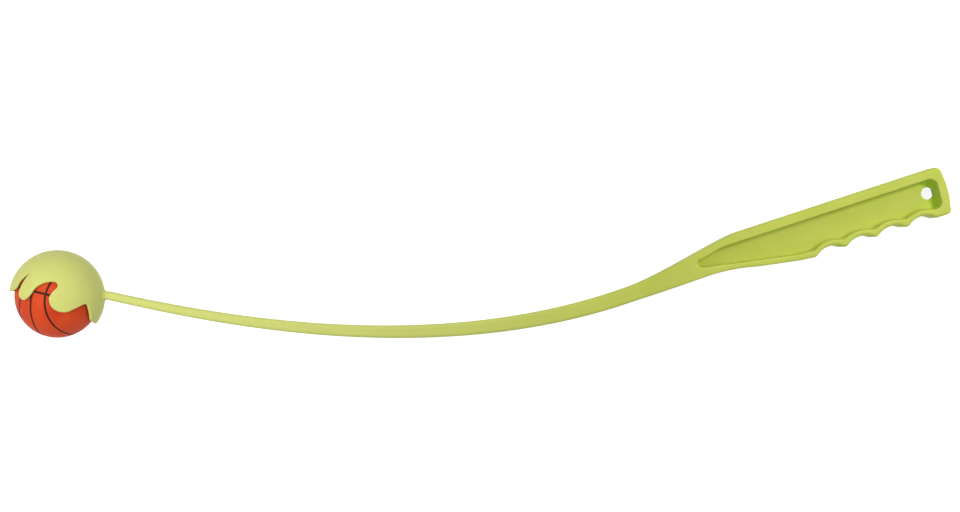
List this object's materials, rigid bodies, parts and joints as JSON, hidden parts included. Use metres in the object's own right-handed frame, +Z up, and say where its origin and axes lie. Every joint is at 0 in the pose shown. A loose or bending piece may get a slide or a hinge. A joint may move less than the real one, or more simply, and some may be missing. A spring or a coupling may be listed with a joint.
{
  "type": "dog ball thrower",
  "caption": "One-piece plastic dog ball thrower: a clawed cup grips a seamed rubber ball at the end of a flexible curved stem with a finger-rest handle and a hanging hole.",
  "frame": {"origin": "bottom centre of the bounding box of the thrower lying on its side with the ball in its cup, on the plane it rests on", "axes": "+X from the cup towards the end of the handle, +Y from the claws' opening side towards the back of the stem's curve, +Z up from the surface it lies on"},
  "size_m": [0.6664, 0.1212, 0.0663],
  "materials": {
    "lime_plastic": "satin",
    "orange_rubber": "matte",
    "dark_rubber": "matte"
  },
  "bodies": {
    "thrower": {"claw_cup": "lime_plastic", "flexible_stem": "lime_plastic", "handle_grip": "lime_plastic"},
    "ball": {"ball_core": "orange_rubber", "ball_seams": "dark_rubber"}
  },
  "joints": [
    {"name": "ball_release", "type": "slide", "parent": "thrower", "child": "ball", "axis": [-0.3482, -0.9294, -0.1223], "range_m": [0, 0.04]}
  ]
}
